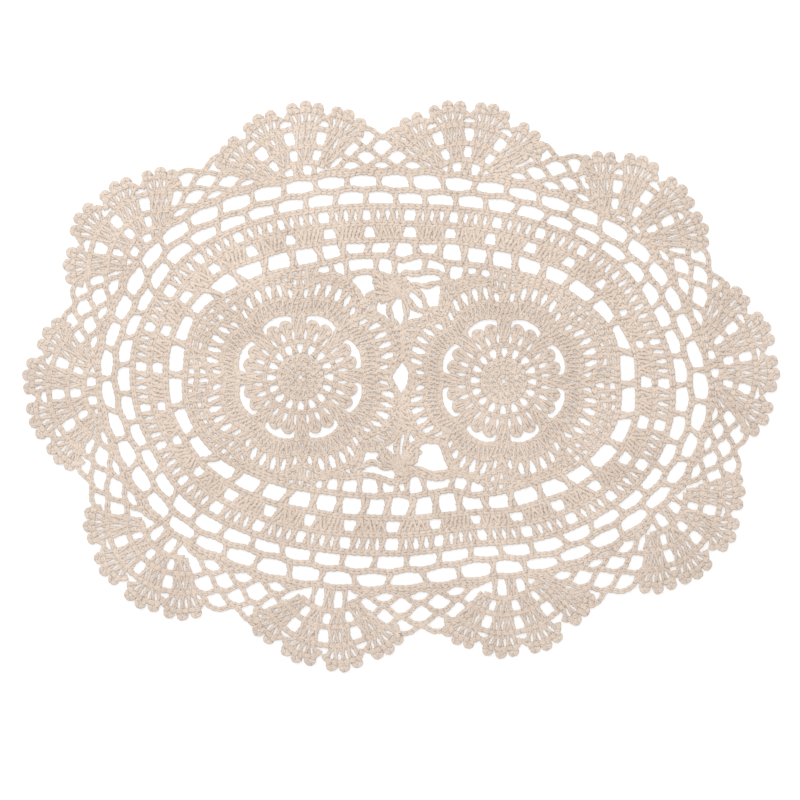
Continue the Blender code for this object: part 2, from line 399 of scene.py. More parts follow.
def place(share, offset, stray=0.0):
    """Points of a round.  The unevenness grows toward the tips and fades toward the middle."""
    share = np.asarray(share, float)
    along, foot, tip = wander(share)
    weight = min(1.0, max(0.0, 1.0 + offset / WANDER_DEPTH))
    rise = min(1.0, max(0.0, offset / FAN_RISE))
    line = min(offset, 0.0)
    point, normal = OVAL.plain(line, share + along * weight / OVAL.length(line))
    out = offset - line + foot * weight + (tip - foot) * rise
    out = out - dent(share, offset) * (1.0 - rise) + stray
    return point + normal * np.asarray(out)[..., None]


def fan_lean(index):
    """How many degrees this fan leans."""
    return FAN_PLACES[index % FANS][4]


def fan_frame(index):
    """The centre of a fan's arcs, and its directions along and outward, with its lean."""
    along, _, tip = wander(fan_share(index))
    middle, normal = OVAL.plain(0.0, fan_share(index) + along / OVAL.length(0.0))
    lean = math.radians(fan_lean(index))
    outward = normal * math.cos(lean) + np.array([-normal[1], normal[0]]) * math.sin(lean)
    return middle + normal * (FAN_CENTRE + tip), np.array([-outward[1], outward[0]]), outward


def fan_point(index, radius, degrees):
    """Points of a fan by radius and angle."""
    centre, ahead, outward = fan_frame(index)
    angle = np.radians(np.asarray(degrees, float))[..., None]
    radius = np.asarray(radius, float)[..., None]
    return centre + (ahead * np.sin(angle) + outward * np.cos(angle)) * radius


def curve(points):
    """A smooth line through these points, as many close points."""
    points = np.asarray(points, float)
    if len(points) < 3:
        return points
    padded = np.vstack([2 * points[0] - points[1], points, 2 * points[-1] - points[-2]])
    parts = []
    for before, start, end, after in zip(padded, padded[1:], padded[2:], padded[3:]):
        count = max(2, int(np.linalg.norm(end - start) / CURVE_STEP))
        t = (np.arange(count) / count)[:, None]
        parts.append(
            0.5 * (
                2 * start
                + (end - before) * t
                + (2 * before - 5 * start + 4 * end - after) * t**2
                + (3 * start - before - 3 * end + after) * t**3
            )
        )
    parts.append(padded[-2][None])
    return np.vstack(parts)


def jitter(size, *shape):
    """Small unevenness of handwork, never more than twice its size."""
    return np.clip(rng.normal(0.0, size, shape), -2.0 * size, 2.0 * size)


def ripple(count, size, waves=(3, 23)):
    """Slow unevenness round a closed line."""
    share = np.arange(count) / count
    total = np.zeros(count)
    for cycles in rng.integers(waves[0], waves[1], 5):
        total += rng.normal(0.0, size / 2.2) * np.sin(2.0 * math.pi * (cycles * share + rng.random()))
    return total


class Work:
    """One stretch of the crochet: the paths that its thread takes."""

    def __init__(self):
        self.paths = []

    def follow(self, line, along, aside, up, size, closed=False, cut=0):
        """Adds a path given by distances along a flat line, aside from it and up from mid height.

        With cut, it is parted into lengths of so many steps, which share their end points.
        """
        steps = np.linalg.norm(np.diff(line, axis=0), axis=1)
        reach = np.concatenate([[0.0], np.cumsum(steps)])
        if len(line) > 2:
            ahead = np.gradient(line, axis=0)
        else:
            ahead = np.repeat(line[1:] - line[:1], 2, 0)
        ahead = ahead / np.linalg.norm(ahead, axis=1, keepdims=True)
        if closed:
            along = np.mod(along, reach[-1])
        beyond = along - np.clip(along, 0.0, reach[-1])
        point = np.stack([np.interp(along, reach, part) for part in line.T], 1)
        ahead = np.stack([np.interp(along, reach, part) for part in ahead.T], 1)
        ahead /= np.linalg.norm(ahead, axis=1, keepdims=True)
        side = np.stack([-ahead[:, 1], ahead[:, 0]], 1)
        flat = point + ahead * beyond[:, None] + side * aside[:, None]
        height = np.maximum(MID_HEIGHT + up, THREAD_HEIGHT / 2.0)
        path = np.column_stack([flat, height])
        for start in range(0, len(path) - 1, cut or len(path)):
            self.paths.append((path[start : start + (cut or len(path)) + 1], size))

    def chain(self, line, closed=False, width=CHAIN_WIDTH, pitch=CHAIN_PITCH, size=1.0, rise=0.0):
        """Chain stitches along a line: two strands that spread and close at each stitch."""
        length = np.linalg.norm(np.diff(line, axis=0), axis=1).sum()
        count = max(2, round(length / pitch))
        pitch = length / count
        shape = np.array(CHAIN_PATH)
        along = (np.arange(count)[:, None] + shape[:, 0] + jitter(0.03, count, 1)).ravel() * pitch
        for hand in (-1.0, 1.0):
            half_width = hand * (width - THREAD * size) / 2.0
            aside = (shape[:, 1] * (1.0 + jitter(0.08, count, 1))).ravel() * half_width
            up = (shape[:, 2] * THREAD_HEIGHT + jitter(0.0001, count, 1)).ravel() + rise
            path = (along, aside, up)
            if closed:
                path = (np.append(v, v[0]) for v in path)
            self.follow(line, *path, size, closed, CHAIN_CUT * len(CHAIN_PATH))

    def post(self, foot, head, bow=0.0, **kind):
        """An upright stitch from foot to head, straight or with a slight bow."""
        line = np.array([foot, head], float)
        if bow:
            foot, head = line
            across = np.array([foot[1] - head[1], head[0] - foot[0]])
            line = curve([foot, (foot + head) / 2.0 + across * bow, head])
        self.post_along(line, **kind)

    def post_along(self, line, size=1.0, wraps=1):
        """An upright stitch along a line: two strands that cross, with wraps round them."""
        length = np.linalg.norm(np.diff(line, axis=0), axis=1).sum()
        count = max(5, round(length / POST_STEP))
        t = np.linspace(0.0, 1.0, count)
        hand = rng.choice((-1.0, 1.0), p=(0.25, 0.75))
        crossings = max(1, round(length / POST_TWIST))
        turn = hand * math.pi * crossings * t + jitter(0.2, 1)[0]
        radius = 0.5 * THREAD * size
        along = POST_TRIM + t * (length - 2.0 * POST_TRIM)
        for start in (0.0, math.pi):
            aside = radius * np.cos(turn + start)
            up = POST_DEPTH * THREAD_HEIGHT * np.sin(turn + start)
            self.follow(line, along, aside, up, size)
        for wrap in range(wraps):
            middle = (wrap + 0.5) / wraps + jitter(0.03, 1)[0]
            t = np.linspace(-0.5, 0.5, 5)
            turn = hand * math.pi * (t + 0.5)
            along = (middle + t * WRAP_REACH / length) * length
            aside = radius * WRAP_WIDTH * np.cos(turn)
            up = WRAP_DEPTH * THREAD_HEIGHT * np.sin(turn)
            self.follow(line, along, aside, up, WRAP_SIZE * size)

    def picot(self, middle, outward):
        """A small ring of chain stitches that ends a stitch."""
        angle = math.atan2(outward[1], outward[0]) + math.pi + np.linspace(0.0, 2.0 * math.pi, 25)
        size = PICOT_RING * (1.0 + jitter(0.06, 2))
        ring = np.stack([np.cos(angle) * size[0], np.sin(angle) * size[1]], 1)
        rise = jitter(0.0002, 1)[0]
        self.chain(middle + ring, closed=True, width=0.0028, pitch=0.0028, size=0.95, rise=rise)


def tubes(paths):
    """Closed tubes of flat thread along all the paths, as points, faces and thread coordinates."""
    turns = np.arange(SIDES) * 2.0 * math.pi / SIDES
    across = (np.cos(turns) * THREAD / 2.0)[None, :, None]
    upward = (np.sin(turns) * THREAD_HEIGHT / 2.0)[None, :, None]
    sides = np.arange(SIDES)[None]
    points, quads, caps, threads = [], [], [], []
    first = 0
    for path, size in paths:
        count = len(path)
        ahead = np.gradient(path, axis=0)
        ahead /= np.linalg.norm(ahead, axis=1, keepdims=True)
        side = carried(ahead)
        up = np.cross(side, ahead)
        skin = path[:, None] + side[:, None] * across * size + up[:, None] * upward
        points.append(skin.reshape(-1, 3))
        low = first + np.arange(count - 1)[:, None] * SIDES + sides
        beside = first + np.arange(count - 1)[:, None] * SIDES + (sides + 1) % SIDES
        quads.append(np.stack([low, low + SIDES, beside + SIDES, beside], -1).reshape(-1, 4))
        caps.append(first + np.arange(SIDES))
        caps.append(first + (count - 1) * SIDES + np.arange(SIDES)[::-1])
        steps = np.linalg.norm(np.diff(path, axis=0), axis=1)
        reach = np.concatenate([[0.0], np.cumsum(steps)])[:, None] / THREAD
        u = np.broadcast_to(sides / SIDES, (count - 1, SIDES))
        v, w = (np.broadcast_to(part, (count - 1, SIDES)) for part in (reach[:-1], reach[1:]))
        corners = ((u, v), (u, w), (u + 1.0 / SIDES, w), (u + 1.0 / SIDES, v))
        threads.append(np.stack([np.stack(corner, -1) for corner in corners], 2).reshape(-1, 2))
        first += count * SIDES
    points = np.vstack(points)
    points[:, :2] = (points[:, :2] + OVAL_MIDDLE) * FIT
    return points, np.vstack(quads), np.array(caps), np.vstack(threads)


def piece(name, paths, area, material):
    """One mesh of thread, riding in place of the CAD plate."""
    points, quads, caps, threads = tubes(paths)
    data = bpy.data.meshes.new(name)
    data.vertices.add(len(points))
    data.vertices.foreach_set("co", points.astype(np.float32).ravel())
    corners = np.concatenate([quads.ravel(), caps.ravel()]).astype(np.int32)
    data.loops.add(len(corners))
    data.loops.foreach_set("vertex_index", corners)
    data.polygons.add(len(quads) + len(caps))
    starts = np.concatenate([np.arange(len(quads)) * 4, quads.size + np.arange(len(caps)) * SIDES])
    data.polygons.foreach_set("loop_start", starts.astype(np.int32))
    data.update(calc_edges=True)
    data.shade_smooth()
    uv = np.zeros((len(corners), 2), np.float32)
    uv[: quads.size] = threads
    data.uv_layers.new(name="Thread").data.foreach_set("uv", uv.ravel())
    data.materials.append(material)
    obj = bpy.data.objects.new(name, data)
    bpy.context.scene.collection.objects.link(obj)
    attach(obj, "root")
    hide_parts("doily")
    lengths = np.array([np.linalg.norm(np.diff(path, axis=0), axis=1).sum() for path, _ in paths])
    sizes = np.array([size for _, size in paths])
    share = (lengths * (THREAD * sizes + THREAD_HEIGHT)).sum() * math.pi / 4.0 / area
    triangles = len(quads) * 2 + len(caps) * (SIDES - 2)
    print(f"{name}: {triangles} triangles, {lengths.sum():.2f} m of thread, share {share:.2f}")


def carried(ahead):
    """A level side direction at each point of a path; where the path stands upright, the last one."""
    side = np.cross(ahead, (0.0, 0.0, 1.0))
    size = np.linalg.norm(side, axis=1)
    good = size > LEAST_LEVEL
    if not good.any():
        return np.tile((1.0, 0.0, 0.0), (len(ahead), 1))
    last = np.maximum.accumulate(np.where(good, np.arange(len(ahead)), -1))
    last[last < 0] = np.argmax(good)
    side = side[last] / size[last, None]
    side -= ahead * (side * ahead).sum(1, keepdims=True)
    return side / np.linalg.norm(side, axis=1, keepdims=True)


def oval_line(offset, size=0.0006, pull=0.0, cells=0, phase=0.0):
    """A closed line of the rounds, a little uneven, drawn inward by pull where stitches end on it."""
    share = np.arange(OVAL_SAMPLES) / OVAL_SAMPLES
    unsettled = share - (settled(share) - share)
    drawn = -pull * np.cos(2.0 * math.pi * (unsettled * cells - phase))
    line = place(share, offset, ripple(len(share), size) + drawn)
    return np.vstack([line, line[:1]])


def onto(line, point):
    """The point of a line that is nearest to this one."""
    return line[np.argmin(np.linalg.norm(line - point, axis=1))]


def mesh_posts(work, lines, inner, outer, shares):
    """The upright stitches of a round of mesh, between the lines of its foot and its head."""
    for share in shares:
        lean = leaning(share) / 2.0 + jitter(MESH_SLANT, 1)[0]
        near, far = share - lean / OVAL.length(inner), share + lean / OVAL.length(outer)
        foot, head = onto(lines[0], place(near, inner)), onto(lines[1], place(far, outer))
        work.post(foot, head, bow=jitter(0.03, 1)[0])


def outer_mesh():
    """Two rounds of mesh outside the band."""
    work = Work()
    foot = oval_line(BAND_OUTER, 0.0)
    middle = oval_line(MESH_MIDDLE, pull=MESH_PULL, cells=MESH_CELLS)
    outer = oval_line(MESH_OUTER, pull=MESH_PULL, cells=MESH_CELLS, phase=0.5)
    work.chain(middle, closed=True)
    work.chain(outer, closed=True)
    cells = np.arange(MESH_CELLS)
    mesh_posts(work, (foot, middle), BAND_OUTER, MESH_MIDDLE, settled(cells / MESH_CELLS))
    mesh_posts(work, (middle, outer), MESH_MIDDLE, MESH_OUTER, settled((cells + 0.5) / MESH_CELLS))
    return work


def band():
    """The solid band: groups of upright stitches, four to a group outside and seven inside."""
    work = Work()
    for offset in (BAND_INNER, BAND_MIDDLE, BAND_OUTER):
        work.chain(oval_line(offset, 0.0002), closed=True)
    for group in range(BAND_GROUPS):
        middle = settled((group + 0.5) / BAND_GROUPS) + jitter(0.0006, 1)[0]
        lean = leaning(middle) / 2.0
        for step in OUTER_GROUP:
            near = middle + (step + jitter(0.010, 1)[0]) / BAND_GROUPS
            far = middle + (step + jitter(0.010, 1)[0]) / BAND_GROUPS
            foot = place(near - lean / OVAL.length(BAND_MIDDLE), BAND_MIDDLE - SINK)
            work.post(foot, place(far + lean / OVAL.length(BAND_OUTER), BAND_OUTER), size=1.12)
        for step in np.linspace(-1.0, 1.0, INNER_GROUP):
            near = middle + (step * INNER_GROUP_FEET + jitter(0.008, 1)[0]) / BAND_GROUPS
            far = middle + (step * INNER_GROUP_HEADS + jitter(0.008, 1)[0]) / BAND_GROUPS
            foot = place(near - lean / OVAL.length(BAND_INNER), BAND_INNER - SINK)
            work.post(foot, place(far + lean / OVAL.length(BAND_MIDDLE), BAND_MIDDLE), size=0.95)
    return work


def fan_arc(index, radius, end):
    """The line of a fan's row, a little uneven."""
    angles = np.linspace(-end, end, 40)
    return fan_point(index, np.full(40, radius) + jitter(0.0001, 40), angles)


def fan_posts(work, index, radii, groups, spread):
    """A row of a fan: groups of stitches from one arc to the next."""
    for foot_middle, head_middle in groups:
        for foot_step, head_step in spread:
            foot = fan_point(index, radii[0] - SINK, foot_middle + foot_step + jitter(0.5, 1)[0])
            head = fan_point(index, radii[1], head_middle + head_step + jitter(0.6, 1)[0])
            work.post(foot, head, size=0.88)


def fan(work, index):
    """One fan: its legs on the outer mesh, three arcs, two rows of stitches, and its lobes."""
    line = place(fan_share(index) + np.linspace(-FAN_HALF_SHARE, FAN_HALF_SHARE, 400), MESH_OUTER)
    for foot_angle, head_angle in LEGS:
        foot = onto(line, fan_point(index, FOOT_RADIUS, foot_angle))
        work.post(foot, fan_point(index, ROW_RADII[0], head_angle), size=0.9)
    for radius, end in zip(ROW_RADII, ROW_ENDS):
        work.chain(fan_arc(index, radius, end), width=ROW_WIDTH)
    fan_posts(work, index, ROW_RADII[:2], FIRST_GROUPS, FIRST_SPREAD)
    fan_posts(work, index, ROW_RADII[1:], SECOND_GROUPS, SECOND_SPREAD)
    for lobe in LOBES:
        shell(work, index, lobe + jitter(0.8, 1)[0])


def shell(work, index, middle):
    """A lobe of the fan: stitches spreading from one place, an arch over them, three picots on it."""
    grow = jitter(0.0006, 1)[0]
    for step in np.linspace(-1.0, 1.0, SHELL_STITCHES):
        foot = fan_point(index, ROW_RADII[2] - SINK, middle * SHELL_GATHER + step * SHELL_FEET)
        radius = SHELL_HEADS + grow - SHELL_ROUNDING * step * step
        work.post(foot, fan_point(index, radius, middle + step * SHELL_SPREAD), size=0.85)
    arch = [fan_point(index, radius + grow, middle + turn) for turn, radius in SHELL_ARCH]
    work.chain(curve(arch), width=0.0030)
    for turn, radius in PICOTS:
        centre = fan_point(index, radius + grow, middle + turn + jitter(0.3, 1)[0])
        work.picot(centre, centre - fan_point(index, 0.0, 0.0))


def net_place(index, step, height):
    """A point between this fan and the next, which the two fans' lean carries along."""
    lean = (fan_lean(index) + fan_lean(index + 1)) / 2.0
    share = fan_share(index + 0.5 + step) + lean * NET_FOLLOWS_LEAN / OVAL.length(0.0)
    return place(share, height * NET_HEIGHTS[index])


def outside_fans(index, line):
    """The part of a line between two fans that lies outside them both."""
    clear = np.ones(len(line), bool)
    for fan_index in (index, (index + 1) % FANS):
        centre, ahead, outward = fan_frame(fan_index)
        angle = np.degrees(np.arctan2((line - centre) @ ahead, (line - centre) @ outward))
        low = np.linalg.norm(line - centre, axis=1) < ROW_RADII[0] - NET_CLEAR_DEPTH
        clear &= np.abs(angle) > np.where(low, NET_CLEAR_BELOW, NET_CLEAR_ANGLE)
    return line[clear]


def net(work, index):
    """Rows of chain loops between this fan and the next, each loop standing on two below."""
    foot = NET_FOOT
    for top, loops in NET_ROWS:
        for loop in range(loops):
            middle = (loop - (loops - 1) / 2.0) * NET_STEP + jitter(0.006, 1)[0]
            high = top + jitter(0.0003, 1)[0]
            line = [
                net_place(index, middle + along * NET_STEP, foot + share * (high - foot))
                for along, share in NET_LOOP
            ]
            line = outside_fans(index, curve(line))
            if len(line) > SHORTEST_LOOP:
                work.chain(line, width=0.0030, size=0.82)
        foot = top


def edging():
    """The fans, and the nets between them."""
    work = Work()
    for index in range(FANS):
        fan(work, index)
        net(work, index)
    return work


def petal_foot(from_middle):
    """The radius of a petal's foot, which is lower at its ends."""
    return PETAL_FOOT - PETAL_FOOT_DROP * (from_middle / PETAL_FOOT_REACH) ** 2


def petal_drop(from_middle):
    """How much lower a petal's rim is at this angle from its middle."""
    t = np.clip((np.abs(from_middle) - PETAL_FLAT) / PETAL_FALL, 0.0, 1.0)
    return PETAL_DROP * t * t * (3.0 - 2.0 * t)


def rim_drop(degrees):
    """How much lower the petals' rim is at this angle of a medallion."""
    return petal_drop(degrees % PETAL_TURN - PETAL_TURN / 2.0)


class Medallion(Work):
    """One round medallion, worked outward from its middle."""

    def __init__(self, side, turn):
        super().__init__()
        self.middle = np.array((side * MEDALLION_X, 0.0))
        self.turn = turn

    def spot(self, radius, degrees):
        """Points of the medallion by radius and angle."""
        angle = np.radians(np.asarray(degrees, float) + self.turn)
        radius = np.asarray(radius, float)
        return self.middle + np.stack([radius * np.cos(angle), radius * np.sin(angle)], -1)

    def ring(self, radius, drop=0.0, **kind):
        """A closed round of chain; drop makes it follow the petals."""
        angles = np.linspace(0.0, 360.0, 361)[:-1]
        reach = radius + ripple(360, 0.0001, (3, 12))
        if drop:
            reach = reach - drop * rim_drop(angles)
        line = self.spot(reach, angles)
        self.chain(np.vstack([line, line[:1]]), closed=True, **kind)

    def posts(self, low, high, angles, **kind):
        """Stitches outward at these angles, between two radii."""
        for angle in angles:
            near, far = angle + jitter(0.5, 2)
            self.post(self.spot(low, near), self.spot(high, far), **kind)

    def disc(self):
        """The solid middle, and the open round of sixteen stitches about it."""
        for radius, width, size, foot, head, count, first, thick, wraps in DISC_ROUNDS:
            self.ring(radius, width=width, size=size)
            self.posts(foot, head, np.arange(count) * 360.0 / count + first, size=thick, wraps=wraps)
        self.ring(OPEN_RIM, width=0.0029, size=0.82)

    def bumps(self):
        """Two bobbles to a petal, and a solid spoke between each two petals."""
        for petal in range(PETALS):
            middle = PETAL_TURN * (petal + 0.5)
            for side in (-1.0, 1.0):
                self.bump(middle + side * BUMP_TURN)
            for step in (-1.0, 0.0, 1.0):
                spoke = middle - PETAL_TURN / 2.0
                foot, head = (self.spot(radius, spoke + step * turn) for radius, turn in SPOKE)
                self.post(foot, head, size=0.82, wraps=2)

    def bump(self, degrees):
        """A rounded bobble: stitches from one place that spread and close again at the top."""
        for step in BUMP_SPREAD:
            line = curve([self.spot(radius, degrees + turn * step) for turn, radius in BUMP_STITCH])
            self.post_along(line, size=0.72, wraps=0)
        arch = [self.spot(radius, degrees + turn) for turn, radius in BUMP_ARCH]
        self.chain(curve(arch), width=0.0027, size=0.88)

    def petals(self):
        """The petals' solid round, their open round of seven stitches each, and their rim."""
        for petal in range(PETALS):
            middle = PETAL_TURN * (petal + 0.5)
            turns = np.linspace(-BASE_REACH, BASE_REACH, 9)
            base = [self.spot(petal_foot(turn), middle + turn) for turn in turns]
            self.chain(curve(base), width=0.0030, size=0.9)
            for step in np.linspace(-SOLID_REACH, SOLID_REACH, SOLID_STITCHES):
                foot = self.spot(petal_foot(step) - PETAL_SINK, middle + step + jitter(0.4, 1)[0])
                head = self.spot(SOLID_HEADS - MIDDLE_DROP * petal_drop(step), middle + step)
                self.post(foot, head, size=0.76)
            for step in OPEN_STITCHES:
                drop = petal_drop(step)
                near, far = step * OPEN_GATHER + jitter(0.3, 1)[0], step + jitter(0.3, 1)[0]
                foot = self.spot(PETAL_MIDDLE - MIDDLE_DROP * drop, middle + near)
                self.post(foot, self.spot(OPEN_HEADS - drop, middle + far), size=1.12)
        self.ring(PETAL_MIDDLE, drop=MIDDLE_DROP, width=0.0030, size=0.9)
        self.ring(RIM, drop=1.0)

    def work_all(self):
        """The whole medallion."""
        self.disc()
        self.bumps()
        self.petals()
        return self


# The stars above and below the joined medallions: where each long stitch goes from the knot.
STARS = {
    # name: knot, lines
    "upper": ((-0.0020, 0.0480), (
        ((-0.0070, 0.0502), (-0.0120, 0.0530), (-0.0170, 0.0550)),
        ((-0.0080, 0.0490), (-0.0130, 0.0505), (-0.0170, 0.0518)),
        ((-0.0085, 0.0475), (-0.0135, 0.0478), (-0.0160, 0.0480)),
        ((-0.0080, 0.0460), (-0.0130, 0.0450), (-0.0175, 0.0445)),
        ((-0.0070, 0.0445), (-0.0120, 0.0425), (-0.0165, 0.0400)),
        ((-0.0055, 0.0438), (-0.0085, 0.0415), (-0.0130, 0.0405)),
        ((-0.0066, 0.0405), (-0.0075, 0.0360), (-0.0055, 0.0315), (-0.0030, 0.0275)),
        ((0.0006, 0.0405), (0.0018, 0.0350), (0.0012, 0.0305), (0.0005, 0.0265)),
        ((0.0028, 0.0418), (0.0055, 0.0376), (0.0090, 0.0362), (0.0130, 0.0352)),
        ((0.0060, 0.0466), (0.0100, 0.0430), (0.0116, 0.0390), (0.0130, 0.0352)),
        ((0.0060, 0.0492), (0.0120, 0.0490), (0.0170, 0.0508), (0.0215, 0.0506)),
        ((-0.0046, 0.0540), (-0.0050, 0.0625)),
    )),
    "lower": ((0.0015, -0.0455), (
        ((-0.0020, -0.0385), (-0.0018, -0.0330), (-0.0003, -0.0280), (0.0005, -0.0245)),
        ((0.0024, -0.0385), (0.0030, -0.0330), (0.0032, -0.0280), (0.0025, -0.0245)),
        ((0.0058, -0.0390), (0.0095, -0.0343), (0.0140, -0.0308)),
        ((0.0040, -0.0385), (0.0068, -0.0340), (0.0125, -0.0298)),
        ((0.0070, -0.0432), (0.0085, -0.0400), (0.0105, -0.0365)),
        ((0.0110, -0.0478), (0.0190, -0.0496), (0.0255, -0.0476), (0.0285, -0.0440)),
        ((-0.0050, -0.0408), (-0.0090, -0.0368), (-0.0115, -0.0338)),
        ((-0.0065, -0.0426), (-0.0108, -0.0386), (-0.0132, -0.0352)),
        ((-0.0060, -0.0448), (-0.0100, -0.0428), (-0.0118, -0.0400)),
        ((-0.0080, -0.0466), (-0.0120, -0.0452), (-0.0152, -0.0440), (-0.0190, -0.0462),
         (-0.0225, -0.0485)),
        ((-0.0015, -0.0520), (-0.0015, -0.0610)),
        ((0.0034, -0.0520), (0.0036, -0.0615)),
    )),
}
KNOT_RINGS = (0.0012, 0.0030, 0.0048)

# What joins the medallions to each other, and what the stars stand under.
FILL_PITCH = 0.0033
FILL_SHORTEST = 0.0014
FILL_LONG = 0.009
FILLS = (
    # side, the edge of the round that joins the medallions
    (1.0,
     ((0.0270, 0.0520), (0.0215, 0.0505), (0.0202, 0.0440), (0.0190, 0.0375), (0.0140, 0.0368),
      (0.0105, 0.0318), (0.0040, 0.0300), (0.0015, 0.0275), (0.0004, 0.0220), (0.0004, 0.0115),
      (0.0042, 0.0050), (0.0040, -0.0030), (0.0004, -0.0100), (0.0004, -0.0200), (0.0012, -0.0250),
      (0.0050, -0.0262), (0.0090, -0.0312), (0.0150, -0.0325), (0.0222, -0.0328), (0.0248, -0.0380),
      (0.0275, -0.0435), (0.0300, -0.0485))),
    (-1.0,
     ((-0.0300, 0.0520), (-0.0265, 0.0485), (-0.0230, 0.0440), (-0.0205, 0.0375), (-0.0185, 0.0440),
      (-0.0150, 0.0420), (-0.0152, 0.0350), (-0.0110, 0.0322), (-0.0035, 0.0268), (-0.0010, 0.0275),
      (-0.0004, 0.0200), (-0.0004, 0.0115), (-0.0062, 0.0020), (-0.0050, -0.0040),
      (-0.0004, -0.0100), (-0.0004, -0.0200), (-0.0015, -0.0262), (-0.0055, -0.0330),
      (-0.0100, -0.0350), (-0.0130, -0.0375), (-0.0190, -0.0378), (-0.0210, -0.0440),
      (-0.0250, -0.0500))),
)
SHOULDERS = {
    # name: line of chain, x of its upright stitches
    "upper": (
        ((-0.0420, 0.0535), (-0.0360, 0.0540), (-0.0315, 0.0523), (-0.0270, 0.0545),
         (-0.0200, 0.0560), (-0.0130, 0.0550), (-0.0070, 0.0532), (-0.0020, 0.0535),
         (0.0010, 0.0560), (0.0050, 0.0552), (0.0110, 0.0563), (0.0160, 0.0566),
         (0.0200, 0.0550), (0.0225, 0.0520), (0.0270, 0.0508), (0.0310, 0.0530),
         (0.0370, 0.0545), (0.0420, 0.0530)),
        (-0.0370, -0.0290, -0.0145, 0.0105, 0.0225, 0.0320, 0.0390),
    ),
    "lower": (
        ((-0.0420, -0.0530), (-0.0350, -0.0515), (-0.0280, -0.0523), (-0.0210, -0.0510),
         (-0.0140, -0.0513), (-0.0080, -0.0530), (-0.0030, -0.0545), (0.0020, -0.0530),
         (0.0070, -0.0495), (0.0120, -0.0505), (0.0200, -0.0518), (0.0260, -0.0500),
         (0.0310, -0.0495), (0.0370, -0.0510), (0.0420, -0.0530)),
        (-0.0390, -0.0310, -0.0210, -0.0110, 0.0115, 0.0280, 0.0370),
    ),
}

# How far the inner line strays outward above and below the stars.
INNER_STRAY = {
    # side: x, stray
    1.0: (
        (-0.040, 0.0),
        (-0.028, 0.0018),
        (-0.010, 0.0024),
        (-0.001, 0.0),
        (0.008, 0.0028),
        (0.016, 0.0024),
        (0.022, 0.0),
    ),
    -1.0: (
        (-0.012, 0.0),
        (0.000, -0.0018),
        (0.006, -0.0008),
        (0.014, -0.0026),
        (0.027, -0.0040),
        (0.038, 0.0),
    ),
}


def inner_stray(share):
    """How far the inner line strays outward at these shares."""
    point, _ = OVAL.plain(INNER_LINE, share)
    x, y = point[..., 0], point[..., 1]
    above, below = (np.interp(x, *np.transpose(INNER_STRAY[side])) for side in (1.0, -1.0))
    return np.where(y > 0.0, above, below)


def inner_line():
    """The closed line that the medallions and the stars stand in."""
    share = np.arange(OVAL_SAMPLES) / OVAL_SAMPLES
    line = place(share, INNER_LINE, ripple(len(share), 0.0004) + inner_stray(share))
    return np.vstack([line, line[:1]])


def middle_work():
    """The inner mesh, the stars, and what joins them to the medallions."""
    work = Work()
    inner = inner_line()
    work.chain(inner, closed=True)
    for cell in range(INNER_CELLS):
        share = swollen(cell / INNER_CELLS)
        lean = leaning(share) / 2.0 + jitter(INNER_SLANT, 1)[0]
        near = share - lean / OVAL.length(INNER_LINE)
        far = share + lean / OVAL.length(BAND_INNER)
        foot = onto(inner, place(near, INNER_LINE, inner_stray(near)))
        work.post(foot, place(far, BAND_INNER), size=1.3, bow=jitter(0.04, 1)[0])
    for knot, lines in STARS.values():
        for points in lines:
            work.post_along(curve([knot, *points]), wraps=len(points) + 1)
        turns = np.linspace(0.0, 2.0 * math.pi, 25)
        for radius in KNOT_RINGS:
            ring = np.array(knot) + np.stack([np.cos(turns), np.sin(turns)], 1) * radius
            work.chain(ring, closed=True, width=0.0026, size=0.8, rise=0.0002)
    for points, places in SHOULDERS.values():
        line = curve(points)
        work.chain(line)
        for x in places:
            foot = np.array((x, np.interp(x, line[:, 0], line[:, 1])))
            work.post(foot, onto(inner, foot))
    joins(work)
    fills(work)
    return work


def fills(work):
    """The joining round: stitches from the medallions' rims to its edge, which the holes leave."""
    for side, points in FILLS:
        edge = curve(points)
        work.chain(edge, width=0.0030, size=0.9)
        middle = np.array((side * MEDALLION_X, 0.0))
        reach = np.linalg.norm(edge - middle, axis=1)
        angle = np.unwrap(np.arctan2(edge[:, 1], edge[:, 0] - middle[0]))
        moved = np.concatenate([[0.0], np.cumsum(np.abs(np.diff(angle)) * reach[1:])])
        for step in np.arange(FILL_PITCH / 2.0, moved[-1], FILL_PITCH):
            step = step + jitter(0.0003, 1)[0]
            head = np.array([np.interp(step, moved, part) for part in edge.T])
            far = np.linalg.norm(head - middle)
            rim = RIM - rim_drop(math.degrees(math.atan2(head[1], head[0] - middle[0])))
            if far - rim > FILL_SHORTEST:
                foot = middle + (head - middle) / far * rim
                work.post(foot, head, size=0.9, wraps=1 + (far - rim > FILL_LONG))


def joins(work):
    """Short stitches outward from the medallions' rims, with a chain across them."""
    lines = [curve(points) for points, _ in SHOULDERS.values()]
    for side, _ in MEDALLIONS:
        middle = np.array((side * MEDALLION_X, 0.0))
        across = []
        for share in np.arange(0.0, 1.0, 1.0 / JOINS) + (0.25 if side > 0.0 else 0.75):
            share = share + jitter(0.001, 1)[0]
            far = place(share, INNER_LINE, inner_stray(share))
            reach = np.linalg.norm(far - middle)
            if far[0] * side < JOINS_END:
                continue
            angle = math.degrees(math.atan2(far[1], far[0] - middle[0]))
            near = middle + (far - middle) / reach * (RIM - rim_drop(angle))
            for line in lines:
                if line[0, 0] < far[0] < line[-1, 0] and line[0, 1] * far[1] > 0.0:
                    far = np.array((far[0], np.interp(far[0], line[:, 0], line[:, 1])))
            work.post(near, far, size=0.9)
            across.append(near * (1.0 - JOINS_LINE) + far * JOINS_LINE)
        work.chain(curve(across), width=0.0032, size=0.9)


